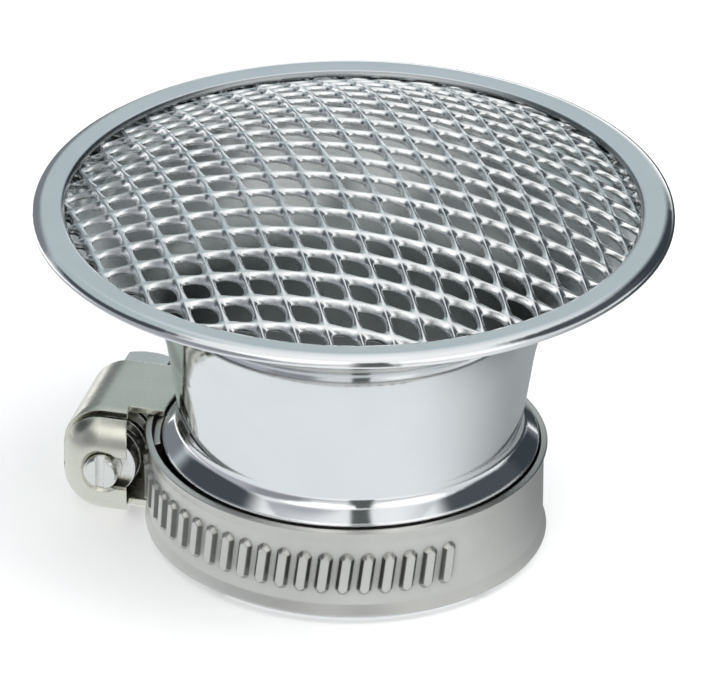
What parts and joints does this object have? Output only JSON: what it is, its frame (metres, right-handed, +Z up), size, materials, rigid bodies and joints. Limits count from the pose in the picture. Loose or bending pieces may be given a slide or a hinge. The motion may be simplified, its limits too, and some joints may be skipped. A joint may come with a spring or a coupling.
{
  "type": "carburettor velocity stack",
  "caption": "Polished bellmouth air horn for a carburettor inlet, with a domed mesh screen under its rolled rim and a worm-drive clamp round its socket.",
  "frame": {"origin": "centre of the socket's lower edge, on the stack's axis", "axes": "+Z up the stack's axis towards the screen, +X to the right and +Y away from the viewer of the picture"},
  "size_m": [0.059, 0.059, 0.0398],
  "materials": {
    "polished_aluminium": "polished",
    "screen_metal": "bright",
    "band_steel": "satin",
    "housing_steel": "zinc plated",
    "screw_steel": "zinc plated"
  },
  "bodies": {
    "stack": {"stack_body": "polished_aluminium", "mesh_screen": "screen_metal", "clamp_band": "band_steel", "worm_housing": "housing_steel"},
    "screw": {"worm_screw": "screw_steel"}
  },
  "joints": [
    {"name": "worm_turn", "type": "hinge", "parent": "stack", "child": "screw", "pos_m": [-0.02174, 0.00582, 0.0052], "axis": [0.2588, 0.9659, 0], "range_deg": [0, 1080]}
  ]
}
